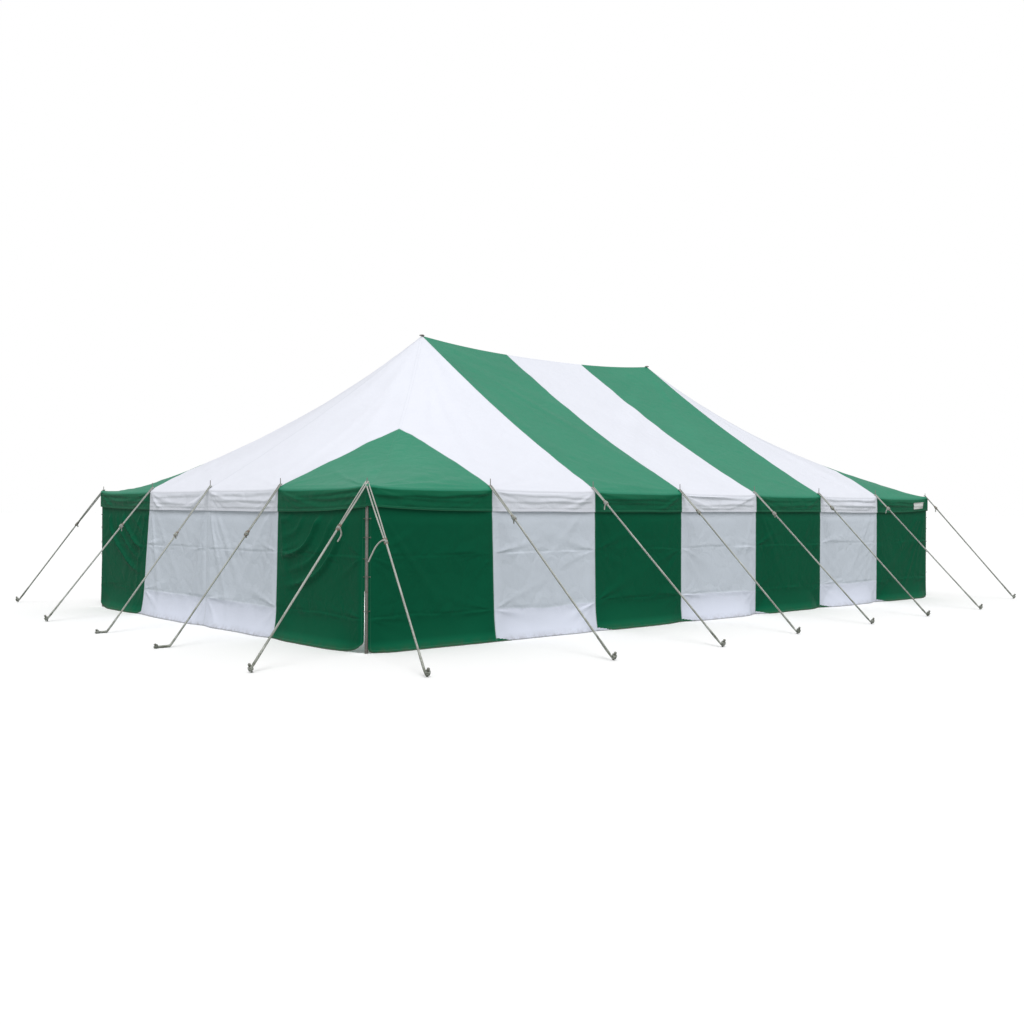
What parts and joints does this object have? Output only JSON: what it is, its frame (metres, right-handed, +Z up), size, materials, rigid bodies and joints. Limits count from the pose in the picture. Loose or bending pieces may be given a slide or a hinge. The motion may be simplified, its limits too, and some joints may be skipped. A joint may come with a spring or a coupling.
{
  "type": "marquee tent",
  "caption": "Striped pole marquee with a peaked roof, hanging valance, wall curtains, side poles and guy ropes to ground pegs.",
  "frame": {"origin": "centre of the plan, on the ground", "axes": "+X along the long side and the ridge, +Y from front to back, +Z up"},
  "size_m": [19.0568, 14.3224, 5.2343],
  "materials": {
    "striped_canvas": "coated woven cloth in green and white stripes",
    "pole_steel": "dull galvanised tube",
    "guy_rope": "laid rope, weathered grey-beige, with wooden runners and steel pegs"
  },
  "bodies": {
    "root": {"centre_pole_left": "pole_steel", "centre_pole_right": "pole_steel", "corner_guy_back_left": "guy_rope", "corner_guy_front_right": "guy_rope", "corner_guys_back_right": "guy_rope", "corner_guys_front_left": "guy_rope", "guy_back_2": "guy_rope", "guy_back_3": "guy_rope", "guy_back_4": "guy_rope", "guy_back_5": "guy_rope", "guy_back_6": "guy_rope", "guy_back_7": "guy_rope", "guy_front_2": "guy_rope", "guy_front_3": "guy_rope", "guy_front_4": "guy_rope", "guy_front_5": "guy_rope", "guy_front_6": "guy_rope", "guy_front_7": "guy_rope", "guy_left_1": "guy_rope", "guy_left_2": "guy_rope", "guy_left_3": "guy_rope", "guy_right_1": "guy_rope", "guy_right_2": "guy_rope", "guy_right_3": "guy_rope", "roof_back": "striped_canvas", "roof_front": "striped_canvas", "roof_left_end": "striped_canvas", "roof_right_end": "striped_canvas", "side_pole_back_1": "pole_steel", "side_pole_back_2": "pole_steel", "side_pole_back_3": "pole_steel", "side_pole_back_4": "pole_steel", "side_pole_back_5": "pole_steel", "side_pole_back_6": "pole_steel", "side_pole_back_7": "pole_steel", "side_pole_back_8": "pole_steel", "side_pole_front_1": "pole_steel", "side_pole_front_2": "pole_steel", "side_pole_front_3": "pole_steel", "side_pole_front_4": "pole_steel", "side_pole_front_5": "pole_steel", "side_pole_front_6": "pole_steel", "side_pole_front_7": "pole_steel", "side_pole_front_8": "pole_steel", "side_pole_left_1": "pole_steel", "side_pole_left_2": "pole_steel", "side_pole_left_3": "pole_steel", "side_pole_right_1": "pole_steel", "side_pole_right_2": "pole_steel", "side_pole_right_3": "pole_steel", "valance_back": "striped_canvas", "valance_front": "striped_canvas", "valance_left": "striped_canvas", "valance_right": "striped_canvas", "wall_back": "striped_canvas", "wall_front": "striped_canvas", "wall_left": "striped_canvas", "wall_right": "striped_canvas"}
  },
  "joints": []
}
